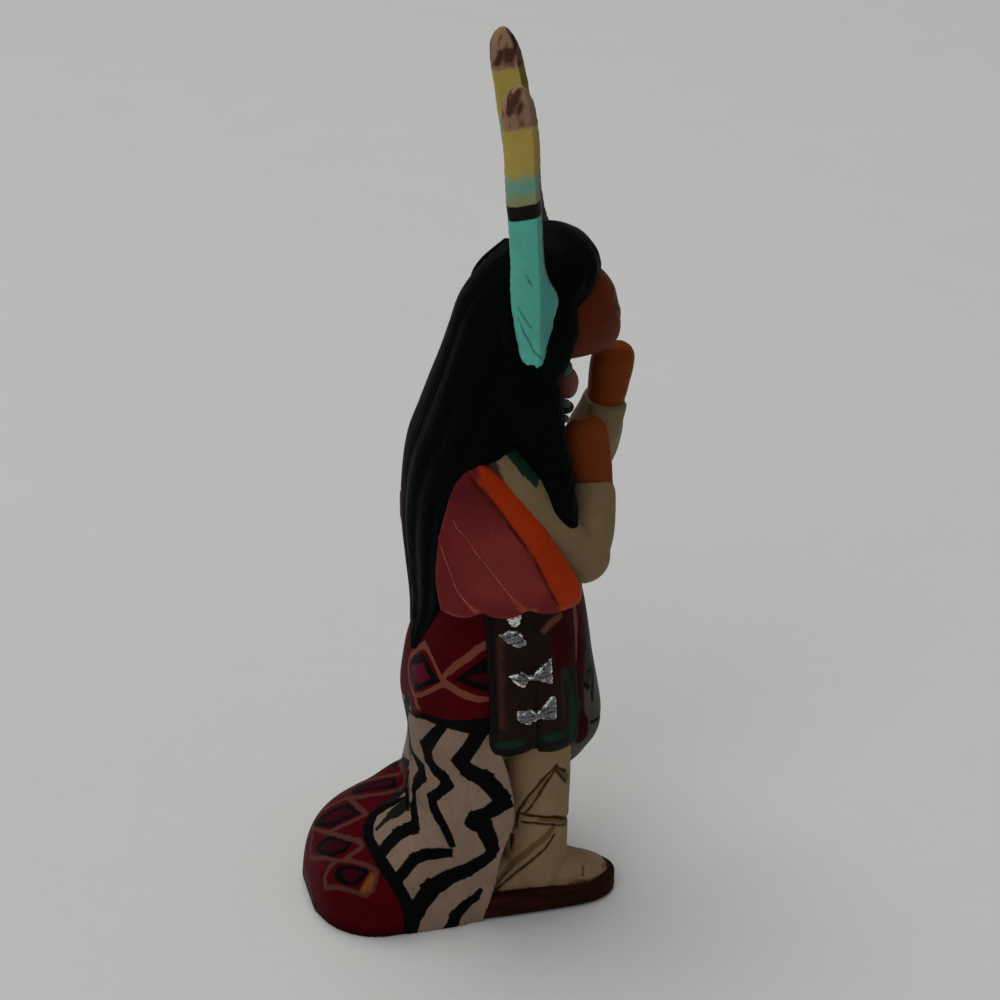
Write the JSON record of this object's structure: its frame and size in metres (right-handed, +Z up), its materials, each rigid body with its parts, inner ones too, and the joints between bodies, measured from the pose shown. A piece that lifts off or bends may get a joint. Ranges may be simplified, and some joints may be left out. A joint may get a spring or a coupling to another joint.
{
  "type": "painted resin angel figurine",
  "caption": "Standing winged figure in a patterned blanket skirt, long hair and tall hair feathers, hands raised, cast in one piece on its boots and trailing blanket.",
  "frame": {"origin": "middle of the footprint box, on the surface the figure stands on", "axes": "+Z up from the boots to the feather tips, the figure faces -Y, its right hand is at -X"},
  "size_m": [0.0342, 0.0484, 0.1218],
  "materials": {
    "painted_resin": "hand-painted cast resin, satin"
  },
  "bodies": {
    "root": {"angel_figurine": "painted_resin"}
  },
  "joints": []
}
